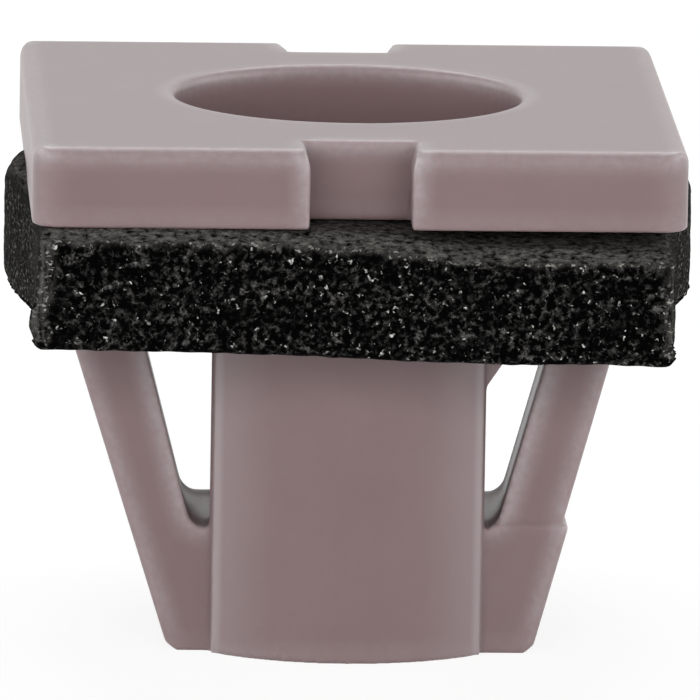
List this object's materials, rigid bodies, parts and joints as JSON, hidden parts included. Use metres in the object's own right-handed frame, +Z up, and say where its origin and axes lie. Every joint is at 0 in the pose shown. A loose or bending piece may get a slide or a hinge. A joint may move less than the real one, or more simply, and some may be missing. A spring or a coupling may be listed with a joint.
{
  "type": "trim clip",
  "caption": "Snap-in trim clip with a square holed head, a slotted shank with flexible wings, and a foam seal under the head.",
  "frame": {"origin": "on the surface that the shank's tip stands on, under the middle of the head", "axes": "+Z up the shank to the head, -Y to the front, +X to the latch wing"},
  "size_m": [0.017, 0.017, 0.0135],
  "materials": {
    "clip_plastic": "satin moulded acetal, mauve grey",
    "seal_foam": "black open-cell foam"
  },
  "bodies": {
    "root": {"clip_body": "clip_plastic", "foam_seal": "seal_foam"}
  },
  "joints": []
}
